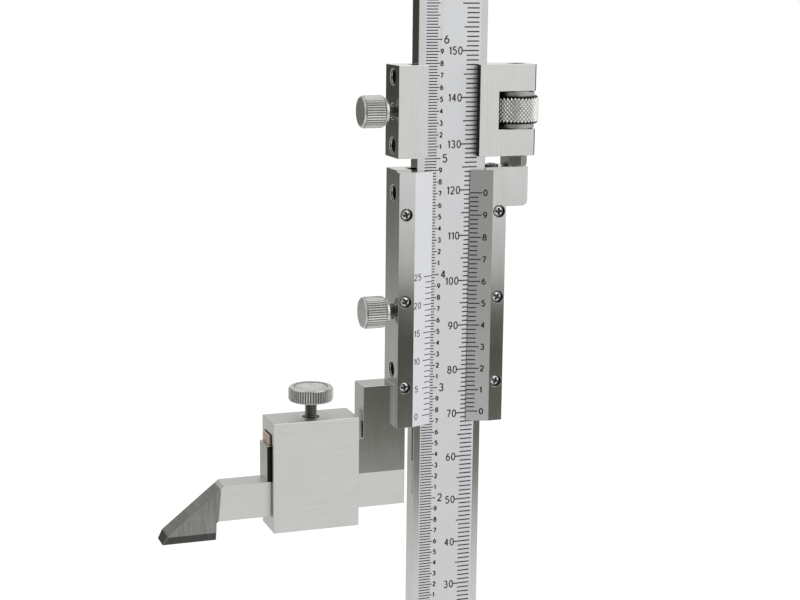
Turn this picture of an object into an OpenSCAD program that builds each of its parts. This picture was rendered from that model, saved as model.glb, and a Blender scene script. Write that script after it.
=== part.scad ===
// Vernier height gauge with a dual scale, a fine-adjust block and a clamped scriber.
// The origin is on the surface that the base stands on, under the middle of the beam.
// X runs along the jaw, away from the scriber. The graduated face looks along -Y. Z is up.

/* [Range and reading] */
// Largest height that the scale reads
measuring_range = 150; // [100:10:300]
// Height that the slider stands at in the modelled pose
reading = 70.36; // [0:0.02:100]

/* [Fits] */
// Running clearance between the beam and what slides on it
run_clear = 0.05; // [0.02:0.01:0.08]
// Radial clearance of a screw in its hole
screw_clear = 0.05; // [0.02:0.01:0.08]
// Gap at faces that a screw presses together
seat_gap = 0.02; // [0.01:0.01:0.04]
// Gap between the beam's graduated face and the vernier plates
plate_gap = 0.15; // [0.08:0.01:0.3]
// Side clearance of the knurled nut in its slot
nut_side_clear = 0.2; // [0.1:0.05:0.4]
// End clearance of the knurled nut in its slot
nut_end_clear = 0.05; // [0.02:0.01:0.1]

/* [Beam] */
// Width of the beam
beam_w = 15.8; // [14:0.1:18]
// Thickness of the beam
beam_t = 4; // [3.5:0.1:5]
// Chamfer on the beam's top corners
beam_corner = 1; // [0.5:0.1:3]
// Beam left above the stop screw's axis
beam_end = 4.5; // [3.5:0.1:10]

/* [Stop screw] */
// Thread diameter of the stop screw
stop_d = 2.5; // [2:0.1:3]
// Head diameter of the stop screw
stop_head_d = 4.4; // [3.6:0.1:6]
// Head height of the stop screw
stop_head_h = 1.4; // [0.8:0.1:2]
// Gap left between the block and the stop screw at full height
stop_gap = 1.5; // [0.5:0.1:5]

/* [Base] */
// Length of the base, away from the scriber
base_l = 80; // [70:1:120]
// Width of the base across the beam's faces
base_w = 50; // [44:1:70]
// Height of the base
base_h = 20; // [18:0.5:21]
// Corner radius of the base, seen from above
base_corner_r = 3; // [1:0.5:6]
// Chamfer round the top edge of the base
base_chamfer = 1; // [0.5:0.1:2]
// Radius of the finger groove along each long side
groove_r = 5; // [4:0.5:7]
// Depth of the finger groove
groove_depth = 2; // [1:0.1:3]
// Depth of the relief under the base
relief_depth = 1; // [0.5:0.1:2]
// Width of the bearing rim round the relief
rim_w = 13; // [11:0.5:16]
// Metal left under the foot of the beam
pocket_floor = 5; // [4:0.5:7]
// Diameter of the two grub screws that hold the beam
grub_d = 5; // [4:0.5:6]
// Length of these grub screws
grub_l = 12; // [8:1:18]
// Distance between these grub screws
grub_pitch = 8; // [7:0.5:9]

/* [Slider body] */
// Height of the slider body
slider_h = 56.6; // [54:0.1:64]
// Slider body below the vernier zero
slider_below_zero = 2.2; // [1.5:0.1:3.5]
// Thickness of the wall that carries the gib screws
slider_left_wall = 3.4; // [3:0.1:5]
// Thickness of the wall on the other side
slider_right_wall = 4.35; // [3.6:0.05:6]
// Thickness of the wall behind the beam
back_wall = 2.45; // [1.8:0.05:4]
// Height of the lug that carries the fine-adjust screw
lug_h = 8.7; // [7:0.1:12]
// Metal outside the fine-adjust screw's axis in the lug
lug_edge = 2.6; // [2.2:0.1:4]
// Radius of the lug's outer corner
lug_r = 1.25; // [0.6:0.05:2]
// Radius of the fillet under the lug
lug_fillet_r = 0.9; // [0.4:0.1:2]

/* [Jaw] */
// Gap between the beam's edge and the jaw
jaw_gap = 1.93; // [1.5:0.01:2.6]
// Width of the jaw's column
column_w = 9.75; // [8:0.05:12]
// Top of the column above the vernier zero
column_rise = 7.16; // [4:0.02:8.2]
// Front of the jaw behind the beam's graduated face
jaw_set_back = 0.4; // [0.2:0.1:1]
// Thickness of the jaw's bar and of the scriber
bar_t = 5.6; // [5:0.1:5.8]
// Height of the jaw's bar
bar_h = 8; // [6:0.1:9]
// Length of the bar outside the column
bar_l = 21.9; // [18:0.1:26]
// Underside of the bar below the vernier zero
bar_drop = 12.4; // [12:0.1:14]

/* [Vernier plates] */
// Thickness of the vernier plates
plate_t = 1.75; // [1.6:0.05:2.2]
// Plate top below the slider body's top
plate_top_gap = 0.4; // [0.2:0.1:1]
// Thickness of the plates at the bevelled edge
plate_edge_t = 0.15; // [0.1:0.05:0.3]
// Flat width of the inch plate
inch_flat_w = 3.65; // [3.2:0.05:4.2]
// Bevel width of the inch plate
inch_bevel_w = 4.6; // [3.5:0.1:5]
// Flat width of the millimetre plate
mm_flat_w = 3.2; // [3:0.05:4]
// Bevel width of the millimetre plate
mm_bevel_w = 4.75; // [3.5:0.05:5.5]

/* [Plate screws] */
// Thread diameter of the plate screws
plate_screw_d = 1.4; // [1.2:0.1:1.6]
// Head diameter of the plate screws
plate_head_d = 2.4; // [2:0.1:2.6]
// Head height of the plate screws
plate_head_h = 0.8; // [0.6:0.1:1]
// Diameter of the counterbore round each head
plate_bore_d = 2.8; // [2.7:0.1:3]
// Depth of that counterbore
plate_bore_depth = 1; // [0.8:0.05:1.2]
// Length of the thread in the body
plate_thread_l = 3; // [2:0.1:4]
// Lowest plate screws above the vernier zero
plate_screw_low = 6.9; // [6.4:0.1:7.6]
// Highest plate screws below the slider's top
plate_screw_high = 9.5; // [8.6:0.1:11]
// Distance from the inch plate's outer edge to its screws
inch_screw_inset = 1.7; // [1.6:0.05:1.9]
// Distance from the millimetre plate's outer edge to its screws
mm_screw_inset = 1.65; // [1.6:0.05:1.7]

/* [Gibs and gib screws] */
// Thickness of the gib strips
gib_t = 1.2; // [0.8:0.1:1.6]
// Gap between a gib's end and the face of its housing
gib_end_gap = 1; // [0.2:0.1:1.2]
// Diameter of the gib set screws
gib_screw_d = 2.9; // [2.5:0.1:3]
// Length of the gib set screws
gib_screw_l = 2; // [1.6:0.1:2.4]
// Width of the screwdriver slot in set screws
driver_slot_w = 0.5; // [0.3:0.05:0.6]
// Depth of that slot
driver_slot_depth = 0.7; // [0.4:0.1:1]
// Lower gib screw of the slider above the lowest plate screws
slider_gib_low = 3.4; // [3.2:0.1:4]
// Upper gib screw of the slider above the highest plate screws
slider_gib_high = 4.4; // [3:0.1:5.4]
// Gib screws of the block, each side of its middle
block_gib_half = 7.3; // [6:0.1:8]

/* [Lock screws] */
// Diameter of the knurled heads
knob_d = 7; // [6:0.1:8]
// Length of the knurled heads
knob_l = 5.1; // [4:0.1:7]
// Chamfer at both ends of the knurl
knob_chamfer = 0.4; // [0.2:0.05:0.6]
// Diameter of the collar next to the wall
knob_collar_d = 5.8; // [4:0.1:6]
// Length of that collar
knob_collar_l = 0.5; // [0.3:0.1:1]
// Thread diameter of the lock screws
lock_d = 2.8; // [2.4:0.1:3]
// Countersink diameter at the mouth of the lock screw holes
lock_mouth_d = 3.6; // [3.3:0.1:4]
// Gap between the collar and the block
block_knob_gap = 1.7; // [1:0.1:3]
// Gap between the collar and the slider
slider_knob_gap = 1.4; // [1:0.1:3]
// Lock screw of the slider below the middle plate screws
slider_lock_low = 2.6; // [2.4:0.1:4]

/* [Fine-adjust block] */
// Height of the block
block_h = 19.75; // [18.8:0.05:24]
// Gap between the slider and the block
block_gap = 2.55; // [2.5:0.05:5]
// Thickness of the block's wall on the knob side
block_left_wall = 3.7; // [3.2:0.1:5]
// Metal outside the fine-adjust screw's axis in the block
block_edge = 3.4; // [2.8:0.1:5]
// Beam covered by the block's front lip on the knob side
lip_left = 1.66; // [1:0.02:3]
// Beam covered by the block's front lip on the screw side
lip_right = 2.25; // [1:0.05:2.6]
// Chamfer on the block's outer front edge
block_chamfer = 0.45; // [0.2:0.05:0.8]

/* [Fine-adjust screw and nut] */
// Distance from the beam's edge to the fine-adjust screw's axis
fine_offset = 7.6; // [7.4:0.1:9]
// Thread diameter of the fine-adjust screw
fine_d = 2.9; // [2.5:0.1:3.1]
// Top of the fine-adjust screw below the block's top
fine_top_gap = 0.7; // [0.3:0.1:2]
// Diameter of the clearance holes in the block
fine_hole_d = 4; // [3.6:0.1:4.4]
// Diameter of the knurled nut
nut_d = 10.4; // [9.6:0.1:10.8]
// Height of the knurled band
nut_band_h = 6; // [5:0.1:7]
// Diameter of the collars above and below the band
nut_collar_d = 8.5; // [7:0.1:9.4]
// Height of each of these collars
nut_collar_h = 1.05; // [0.6:0.05:1.4]
// Chamfer on the knurled band
nut_chamfer = 0.3; // [0.1:0.05:0.5]
// Hexagon lock nut, across its flats
lock_nut_flats = 5.1; // [4.8:0.1:5.2]
// Height of the lock nut
lock_nut_h = 2.4; // [1.6:0.1:2.4]
// Turn of the lock nut about its axis, in degrees
lock_nut_turn = -17; // [-30:1:30]
// Chamfer on the corners of the lock nut
lock_nut_chamfer = 0.35; // [0.1:0.05:0.4]

/* [Slider end screw] */
// Thread diameter of the screw in the slider's top
end_screw_d = 1.9; // [1.6:0.1:2]
// Head diameter of that screw
end_head_d = 3.2; // [2.6:0.1:3.4]
// Head height of that screw
end_head_h = 0.7; // [0.4:0.1:1]
// Length of its thread
end_screw_l = 5; // [3:0.5:6]

/* [Scriber] */
// Height of the scriber's shank
scriber_h = 7.74; // [7:0.02:8.4]
// Drop of the measuring face below the shank
tip_step = 4.14; // [4:0.02:5]
// Length of the shank under the top edge of the slope
shank_l = 41.1; // [38:0.1:48]
// Part of the slope that is ground on the shank itself
shank_slope_w = 0.7; // [0.4:0.1:1.6]
// Distance that the joint of tip and shank slants back to its foot
joint_slant = 0.6; // [0:0.1:1]
// Length of the measuring face, from the heel to the nose
face_l = 11.75; // [10:0.05:14]
// Distance of the heel behind the foot of that joint
heel_w = 0.5; // [0.45:0.05:1.2]
// Relief between the heel and the shank
heel_relief = 0.4; // [0.2:0.1:0.4]
// Height of the blunt nose
nose_h = 1.9; // [1.2:0.1:2.6]
// Lean of the nose
nose_lean = 1.05; // [0.5:0.05:1.5]
// Height of the ground bevel along the measuring face
tip_bevel_h = 1.7; // [1:0.1:2.4]
// Depth of that bevel on each side
tip_bevel_w = 0.3; // [0.1:0.05:0.6]

/* [Scriber clamp] */
// Width of the clamp box along the bar
box_w = 19.4; // [17:0.1:21]
// Wall of the box in front of the bar
box_front_wall = 0.9; // [0.8:0.05:1.5]
// Free space between the bar and that wall
box_slot_gap = 0.7; // [0.1:0.05:1]
// Wall of the box behind the bar, which guides it
box_back_wall = 1.55; // [1.2:0.05:2.5]
// Floor of the box under the scriber
box_floor = 3.46; // [2.6:0.02:3.6]
// Roof of the box, which holds the clamp screw
box_roof = 2.75; // [2:0.05:4]
// Gap between the clamp box and the column
box_gap = 1.46; // [1.3:0.02:2.5]
// Thickness of the pressure pad
pad_t = 2.2; // [1.5:0.1:3]
// Free space above the pressure pad
pad_play = 0.25; // [0.1:0.05:0.6]
// Depth of the pad across the bar
pad_w = 4.5; // [4:0.1:5.4]
// Length of the pad that stands out of the box on the left
pad_overhang = 0.45; // [0.1:0.05:1]

/* [Clamp screw] */
// Thread diameter of the clamp screw
clamp_d = 2.7; // [2.4:0.1:3]
// Head diameter of the clamp screw
clamp_head_d = 9.8; // [8:0.1:12]
// Head height of the clamp screw
clamp_head_h = 3.2; // [2.5:0.1:4]
// Gap between the head and the clamp box
clamp_head_gap = 3.55; // [2.5:0.05:5]
// Diameter of the dish in the head's top
dish_d = 7.4; // [6:0.1:7.8]
// Depth of that dish
dish_depth = 0.9; // [0.4:0.1:1.4]
// Chamfer on the head's edges
clamp_chamfer = 0.4; // [0.2:0.05:0.6]
// Countersink diameter at the mouth of the clamp screw's hole
clamp_mouth_d = 4.1; // [3.4:0.1:5]

/* [Hidden] */
$fn = 96;
// Overlap of a cutting shape beyond the face that it cuts
cut = 1;

// Colours of the metals in the photograph
steel = [0.74, 0.74, 0.73];
dark_steel = [0.42, 0.42, 0.40];
satin_chrome = [0.82, 0.83, 0.85];
bright_steel = [0.80, 0.80, 0.79];
black_steel = [0.16, 0.16, 0.15];
bronze = [0.72, 0.52, 0.42];

// Plan of the beam, its channel and the slider round it
beam_left = -beam_w / 2;
beam_right = beam_w / 2;
beam_front = -beam_t / 2;
beam_back = beam_t / 2;
channel_left = beam_left - run_clear - gib_t - run_clear;
channel_right = beam_right + run_clear;
channel_back = beam_back + run_clear;
channel_front = beam_front - run_clear;
slider_left = channel_left - slider_left_wall;
slider_right = channel_right + slider_right_wall;
body_front = beam_front - plate_gap;
body_back = channel_back + back_wall;
plate_front = body_front - plate_t;

// Heights that follow the reading
tip_drop = bar_drop + seat_gap + scriber_h + tip_step;
scale_zero_z = tip_drop;
zero_z = scale_zero_z + reading;
slider_z = zero_z - slider_below_zero;
slider_top_z = slider_z + slider_h;
plate_h = slider_h - plate_top_gap;
block_z = slider_top_z + block_gap;
block_top_z = block_z + block_h;
block_mid_z = block_z + block_h / 2;
stop_z = block_top_z - reading + measuring_range + stop_gap + stop_head_d / 2;
beam_top_z = stop_z + beam_end;

// The base's pocket for the beam and its grub screws
pocket_depth = base_h - pocket_floor;
grub_z = pocket_floor + pocket_depth / 2;

// The jaw, the scriber under it and the clamp round both
jaw_front = beam_front + jaw_set_back;
bar_back = jaw_front + bar_t;
bar_mid_y = jaw_front + bar_t / 2;
jaw_right = beam_left - jaw_gap;
column_left = jaw_right - column_w;
bar_left = column_left - bar_l;
bar_z = zero_z - bar_drop;
bar_top_z = bar_z + bar_h;
column_top_z = zero_z + column_rise;
shank_z = bar_z - seat_gap - scriber_h;
shank_top_z = shank_z + scriber_h;
face_z = shank_z - tip_step;
slope_x = jaw_right - shank_l;
joint_x = slope_x - shank_slope_w;
joint_foot_x = joint_x - joint_slant;
heel_x = joint_foot_x - heel_w;
nose_x = heel_x - face_l;
nose_top = [nose_x + nose_lean, face_z + nose_h];
slope_rate = (shank_top_z - nose_top[1]) / (slope_x - nose_top[0]);
joint_top_z = shank_top_z - slope_rate * shank_slope_w;
box_right = column_left - box_gap;
box_left = box_right - box_w;
box_mid_x = box_right - box_w / 2;
box_z = shank_z - seat_gap - box_floor;
pad_z = bar_top_z + seat_gap;
pad_top_z = pad_z + pad_t;
box_top_z = pad_top_z + pad_play + box_roof;
box_inner_front = jaw_front - box_slot_gap;
box_front = box_inner_front - box_front_wall;
box_back = bar_back + run_clear + box_back_wall;

// Holes and screws in the slider
plate_screw_low_z = zero_z + plate_screw_low;
plate_screw_high_z = slider_top_z - plate_screw_high;
plate_screw_mid_z = (plate_screw_low_z + plate_screw_high_z) / 2;
plate_screw_zs = [plate_screw_low_z, plate_screw_mid_z, plate_screw_high_z];
inch_screw_x = slider_left + inch_screw_inset;
mm_screw_x = slider_right - mm_screw_inset;
slider_gib_zs = [plate_screw_low_z + slider_gib_low, plate_screw_high_z + slider_gib_high];
block_gib_zs = [block_mid_z - block_gib_half, block_mid_z + block_gib_half];
slider_lock_z = plate_screw_mid_z - slider_lock_low;
end_screw_x = (channel_right + slider_right) / 2;

// The fine-adjust screw, its nut and the block round them
fine_x = beam_right + fine_offset;
lug_right = fine_x + lug_edge;
lug_z = slider_top_z - lug_h;
block_left = channel_left - block_left_wall;
block_right = fine_x + block_edge;
nut_h = nut_band_h + 2 * nut_collar_h;
nut_slot_h = nut_h + 2 * nut_end_clear;
nut_slot_z = block_mid_z - nut_slot_h / 2;
nut_slot_x = fine_x - nut_d / 2 - nut_side_clear;
nut_z = nut_slot_z + nut_end_clear;

// Helpers. A bar between two corners, drawn from its low and high limits.
module bar(x, y, z) {
  translate([x[0], y[0], z[0]]) cube([x[1] - x[0], y[1] - y[0], z[1] - z[0]]);
}

// A plan outline raised from one height to another
module raised(z) {
  translate([0, 0, z[0]]) linear_extrude(z[1] - z[0]) children();
}

// An outline in X and Z, given depth from one Y to another
module deep(y) {
  translate([0, y[1], 0]) rotate([90, 0, 0]) linear_extrude(y[1] - y[0]) children();
}

// An outline in Y and Z, given length from one X to another
module long(x) {
  translate([x[0], 0, 0]) rotate([90, 0, 90]) linear_extrude(x[1] - x[0]) children();
}

module rounded_rectangle(x, y, r) {
  translate([x[0] + r, y[0]]) square([x[1] - x[0] - 2 * r, y[1] - y[0]]);
  translate([x[0], y[0] + r]) square([x[1] - x[0], y[1] - y[0] - 2 * r]);
  for (cx = [x[0] + r, x[1] - r], cy = [y[0] + r, y[1] - r]) translate([cx, cy]) circle(r);
}

// A rectangle whose two upper corners are cut off by c
module topped_rectangle(x, z, c) {
  polygon([[x[0], z[0]], [x[1], z[0]], [x[1], z[1] - c], [x[1] - c, z[1]], [x[0] + c, z[1]],
    [x[0], z[1] - c]]);
}

// A turned cylinder with chamfered ends, from 0 to h
module turned(d, h, c) {
  rotate_extrude()
    polygon([[0, 0], [d / 2 - c, 0], [d / 2, c], [d / 2, h - c], [d / 2 - c, h], [0, h]]);
}

// A hole along +X with a countersunk mouth at its start
module hole_from_left(d, mouth_d, l) {
  rotate([0, 90, 0]) {
    translate([0, 0, -cut]) cylinder(d = d, h = l + cut);
    translate([0, 0, -cut]) cylinder(d = mouth_d, h = cut);
    cylinder(d1 = mouth_d, d2 = d, h = (mouth_d - d) / 2);
  }
}

// A set screw along +X with a slot in the end that it is turned by
module set_screw(d, l) {
  rotate([0, 90, 0]) difference() {
    cylinder(d = d, h = l);
    bar([-driver_slot_w / 2, driver_slot_w / 2], [-d, d], [-cut, driver_slot_depth]);
  }
}

// A pan head on top of a thread, with a cross recess. The head sits on z = 0.
module pan_head_screw(d, head_d, head_h, l) {
  recess_depth = head_h / 2;
  recess_l = head_d * 0.6;
  difference() {
    union() {
      translate([0, 0, -l]) cylinder(d = d, h = l + head_h / 2);
      rotate_extrude() intersection() {
        square([head_d, head_h]);
        translate([0, head_h - head_d]) circle(head_d);
        square([head_d / 2, head_h]);
      }
    }
    for (turn = [0, 90]) rotate(turn)
      bar([-recess_l / 2, recess_l / 2], [-d / 7, d / 7], [head_h - recess_depth, head_h + cut]);
  }
}

// A knurled lock screw along +X. It starts at the head's outer face.
module lock_screw(l) {
  rotate([0, 90, 0]) {
    turned(knob_d, knob_l, knob_chamfer);
    translate([0, 0, knob_l]) cylinder(d = knob_collar_d, h = knob_collar_l);
    translate([0, 0, knob_l]) cylinder(d = lock_d, h = knob_collar_l + l);
  }
}

// Stand
module base() {
  color(steel) difference() {
    intersection() {
      raised([0, base_h])
        rounded_rectangle([beam_left, beam_left + base_l], [-base_w / 2, base_w / 2], base_corner_r);
      deep([-base_w, base_w])
        topped_rectangle([beam_left, beam_left + base_l], [0, base_h], base_chamfer);
      long([beam_left - cut, beam_left + base_l + cut])
        topped_rectangle([-base_w / 2, base_w / 2], [0, base_h], base_chamfer);
    }
    // Finger grooves along both long sides
    for (side = [-1, 1])
      translate([beam_left - cut, side * (base_w / 2 - groove_depth + groove_r), base_h / 2])
        rotate([0, 90, 0]) cylinder(r = groove_r, h = base_l + 2 * cut);
    // Relief that leaves a bearing rim on the surface
    raised([-cut, relief_depth])
      rounded_rectangle([beam_left + rim_w, beam_left + base_l - rim_w],
        [-base_w / 2 + rim_w, base_w / 2 - rim_w], base_corner_r);
    // Pocket for the beam, open on the scriber's side
    bar([beam_left - cut, channel_right], [channel_front, channel_back],
      [pocket_floor, base_h + cut]);
    // Threaded holes of the grub screws, from the front face to the pocket
    for (side = [-1, 1])
      translate([side * grub_pitch / 2, -base_w / 2 - cut, grub_z]) rotate([-90, 0, 0])
        cylinder(d = grub_d + 2 * screw_clear, h = base_w / 2 + cut + beam_front);
  }
}

module beam() {
  color(satin_chrome) difference() {
    deep([beam_front, beam_back])
      topped_rectangle([beam_left, beam_right], [pocket_floor, beam_top_z], beam_corner);
    translate([0, beam_front - cut, stop_z]) rotate([-90, 0, 0])
      cylinder(d = stop_d + 2 * screw_clear, h = beam_t + 2 * cut);
  }
}

module beam_grub_screws() {
  color(black_steel) for (side = [-1, 1])
    translate([side * grub_pitch / 2, channel_front - grub_l, grub_z])
      rotate([0, 0, 90]) set_screw(grub_d, grub_l);
}

module beam_stop_screw() {
  color(bright_steel) translate([0, beam_back, stop_z]) rotate([-90, 0, 0])
    pan_head_screw(stop_d, stop_head_d, stop_head_h, beam_t);
}

// Fine-adjust block
module fine_adjust_block() {
  color(steel) difference() {
    raised([block_z, block_top_z]) polygon([
      [block_left, plate_front], [beam_left + lip_left, plate_front],
      [beam_left + lip_left, channel_front], [channel_left, channel_front],
      [channel_left, channel_back], [channel_right, channel_back],
      [channel_right, channel_front], [beam_right - lip_right, channel_front],
      [beam_right - lip_right, plate_front], [block_right - block_chamfer, plate_front],
      [block_right, plate_front + block_chamfer], [block_right, body_back],
      [block_left, body_back]]);
    // Slot that holds the knurled nut
    bar([nut_slot_x, block_right + cut], [plate_front - cut, body_back + cut],
      [nut_slot_z, nut_slot_z + nut_slot_h]);
    // Clearance holes for the fine-adjust screw
    translate([fine_x, 0, block_z - cut]) cylinder(d = fine_hole_d, h = block_h + 2 * cut);
    // Threaded holes that reach the gib
    translate([block_left, 0, block_mid_z])
      hole_from_left(lock_d + 2 * screw_clear, lock_mouth_d, block_left_wall + run_clear);
    for (z = block_gib_zs) translate([block_left, 0, z])
      hole_from_left(gib_screw_d + 2 * screw_clear, lock_mouth_d, block_left_wall + run_clear);
  }
}

// A gib strip between a housing's wall and the beam's edge
module gib(z) {
  color(bronze) bar([channel_left + run_clear, channel_left + run_clear + gib_t],
    [channel_front + run_clear, channel_back - run_clear], [z[0] + gib_end_gap, z[1] - gib_end_gap]);
}

module gib_screws(zs) {
  color(black_steel) for (z = zs)
    translate([channel_left + run_clear - seat_gap - gib_screw_l, 0, z])
      set_screw(gib_screw_d, gib_screw_l);
}

module block_gib() {
  gib([block_z, block_top_z]);
}

module block_gib_screws() {
  gib_screws(block_gib_zs);
}

module block_lock_screw() {
  l = block_knob_gap + block_left_wall + run_clear - seat_gap;
  color(bright_steel)
    translate([block_left - block_knob_gap - knob_collar_l - knob_l, 0, block_mid_z]) lock_screw(l);
}

// Fine-adjust screw, its knurled nut and its lock nut
module fine_adjust_nut() {
  color(bright_steel) translate([fine_x, 0, nut_z]) difference() {
    union() {
      cylinder(d = nut_collar_d, h = nut_h);
      translate([0, 0, nut_collar_h]) turned(nut_d, nut_band_h, nut_chamfer);
    }
    translate([0, 0, -cut]) cylinder(d = fine_d + 2 * screw_clear, h = nut_h + 2 * cut);
  }
}

module fine_adjust_screw() {
  top_z = block_top_z - fine_top_gap;
  color(dark_steel) translate([fine_x, 0, 0]) difference() {
    translate([0, 0, lug_z]) cylinder(d = fine_d, h = top_z - lug_z);
    bar([-fine_d, fine_d], [-driver_slot_w / 2, driver_slot_w / 2],
      [top_z - driver_slot_depth, top_z + cut]);
  }
}

module screw_lock_nut() {
  corner_d = lock_nut_flats / cos(30);
  color(black_steel) translate([fine_x, 0, slider_top_z]) difference() {
    intersection() {
      rotate(lock_nut_turn) cylinder(d = corner_d, h = lock_nut_h, $fn = 6);
      turned(corner_d, lock_nut_h, lock_nut_chamfer);
    }
    translate([0, 0, -cut]) cylinder(d = fine_d + 2 * screw_clear, h = lock_nut_h + 2 * cut);
  }
}

// Slider body with its lug and the jaw
module lug_outline() {
  difference() {
    translate([channel_right, lug_z]) square([lug_right - channel_right, lug_h]);
    translate([lug_right - lug_r, lug_z - cut]) square([lug_r + cut, lug_r + cut]);
  }
  translate([lug_right - lug_r, lug_z + lug_r]) circle(lug_r);
  difference() {
    translate([slider_right - cut, lug_z - lug_fillet_r]) square([lug_fillet_r + cut, lug_fillet_r + cut]);
    translate([slider_right + lug_fillet_r, lug_z - lug_fillet_r]) circle(lug_fillet_r);
  }
}

module jaw() {
  bar([column_left, jaw_right], [jaw_front, body_back], [bar_z, column_top_z]);
  bar([bar_left, column_left + cut], [jaw_front, bar_back], [bar_z, bar_top_z]);
}

module slider_body() {
  color(steel) difference() {
    union() {
      bar([slider_left, slider_right], [body_front, body_back], [slider_z, slider_top_z]);
      deep([body_front, body_back]) lug_outline();
      jaw();
    }
    // Channel for the beam and the gib
    bar([channel_left, channel_right], [body_front - cut, channel_back],
      [slider_z - cut, slider_top_z + cut]);
    // Threaded hole for the fine-adjust screw
    translate([fine_x, 0, lug_z - cut]) cylinder(d = fine_d + 2 * screw_clear, h = lug_h + 2 * cut);
    // Threaded holes of the plate screws
    for (x = [inch_screw_x, mm_screw_x], z = plate_screw_zs)
      translate([x, body_front - cut, z]) rotate([-90, 0, 0])
        cylinder(d = plate_screw_d + 2 * screw_clear, h = cut + plate_thread_l + screw_clear);
    // Threaded holes that reach the gib
    translate([slider_left, 0, slider_lock_z])
      hole_from_left(lock_d + 2 * screw_clear, lock_mouth_d, slider_left_wall + run_clear);
    for (z = slider_gib_zs) translate([slider_left, 0, z])
      hole_from_left(gib_screw_d + 2 * screw_clear, lock_mouth_d, slider_left_wall + run_clear);
    // Threaded hole of the end screw
    translate([end_screw_x, 0, slider_top_z - end_screw_l - screw_clear])
      cylinder(d = end_screw_d + 2 * screw_clear, h = end_screw_l + screw_clear + cut);
  }
}

module slider_end_screw() {
  color(bright_steel) translate([end_screw_x, 0, slider_top_z])
    pan_head_screw(end_screw_d, end_head_d, end_head_h, end_screw_l);
}

module slider_gib() {
  gib([slider_z, slider_top_z]);
}

module slider_gib_screws() {
  gib_screws(slider_gib_zs);
}

module slider_lock_screw() {
  l = slider_knob_gap + slider_left_wall + run_clear - seat_gap;
  color(bright_steel)
    translate([slider_left - slider_knob_gap - knob_collar_l - knob_l, 0, slider_lock_z]) lock_screw(l);
}

// Vernier plates. Each has a flat for its screws and a bevel that runs down to the beam.
// The outer edge is at x = 0 and the bevel lies along +X.
module vernier_plate(flat_w, bevel_w, screw_inset) {
  difference() {
    raised([slider_z, slider_z + plate_h]) polygon([[0, plate_front], [flat_w, plate_front],
      [flat_w + bevel_w, body_front - plate_edge_t], [flat_w + bevel_w, body_front],
      [0, body_front]]);
    for (z = plate_screw_zs) translate([screw_inset, 0, z]) rotate([-90, 0, 0]) {
      translate([0, 0, plate_front - cut])
        cylinder(d = plate_screw_d + 2 * screw_clear, h = plate_t + 2 * cut);
      translate([0, 0, plate_front - cut]) cylinder(d = plate_bore_d, h = plate_bore_depth + cut);
    }
  }
}

module inch_vernier_plate() {
  color(satin_chrome) translate([slider_left, 0, 0])
    vernier_plate(inch_flat_w, inch_bevel_w, inch_screw_inset);
}

module mm_vernier_plate() {
  color(satin_chrome) translate([slider_right, 0, 0]) mirror([1, 0, 0])
    vernier_plate(mm_flat_w, mm_bevel_w, mm_screw_inset);
}

module plate_screws(x) {
  seat_y = plate_front + plate_bore_depth;
  color(bright_steel) for (z = plate_screw_zs) translate([x, seat_y, z]) rotate([90, 0, 0])
    pan_head_screw(plate_screw_d, plate_head_d, plate_head_h, body_front - seat_y + plate_thread_l);
}

module inch_plate_screws() {
  plate_screws(inch_screw_x);
}

module mm_plate_screws() {
  plate_screws(mm_screw_x);
}

// Scriber clamp
module scriber_clamp_box() {
  color(steel) difference() {
    bar([box_left, box_right], [box_front, box_back], [box_z, box_top_z]);
    // Passage for the bar, the pad and the scriber
    bar([box_left - cut, box_right + cut], [box_inner_front, bar_back + run_clear],
      [shank_z - seat_gap, pad_top_z + pad_play]);
    // Threaded hole of the clamp screw, with a countersunk mouth
    translate([box_mid_x, bar_mid_y, box_top_z]) mirror([0, 0, 1]) {
      translate([0, 0, -cut]) cylinder(d = clamp_d + 2 * screw_clear, h = box_roof + 2 * cut);
      cylinder(d1 = clamp_mouth_d, d2 = clamp_d + 2 * screw_clear,
        h = (clamp_mouth_d - clamp_d - 2 * screw_clear) / 2);
    }
  }
}

module clamp_pad() {
  color(bronze) bar([box_left - pad_overhang, box_right - pad_overhang],
    [bar_mid_y - pad_w / 2, bar_mid_y + pad_w / 2], [pad_z, pad_top_z]);
}

module clamp_screw() {
  head_z = box_top_z + clamp_head_gap;
  dish_r = (pow(dish_d / 2, 2) + pow(dish_depth, 2)) / (2 * dish_depth);
  color(bright_steel) translate([box_mid_x, bar_mid_y, 0]) {
    translate([0, 0, pad_top_z + seat_gap]) cylinder(d = clamp_d, h = head_z - pad_top_z);
    translate([0, 0, head_z]) difference() {
      turned(clamp_head_d, clamp_head_h, clamp_chamfer);
      translate([0, 0, clamp_head_h - dish_depth + dish_r]) sphere(dish_r);
    }
  }
}

// Scriber, a plain shank with a ground tip at its end
module scriber_shank() {
  color(steel) deep([jaw_front, bar_back]) polygon([
    [joint_foot_x, shank_z], [jaw_right, shank_z], [jaw_right, shank_top_z],
    [slope_x, shank_top_z], [joint_x, joint_top_z]]);
}

module scriber_tip() {
  color(dark_steel) intersection() {
    deep([jaw_front, bar_back]) polygon([
      [joint_x, joint_top_z], [joint_foot_x, shank_z],
      [joint_foot_x - heel_relief, shank_z - heel_relief], [heel_x, face_z], [nose_x, face_z],
      nose_top]);
    long([nose_x - cut, joint_x + cut]) polygon([
      [jaw_front + tip_bevel_w, face_z], [bar_back - tip_bevel_w, face_z],
      [bar_back, face_z + tip_bevel_h], [bar_back, shank_top_z], [jaw_front, shank_top_z],
      [jaw_front, face_z + tip_bevel_h]]);
  }
}

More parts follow.
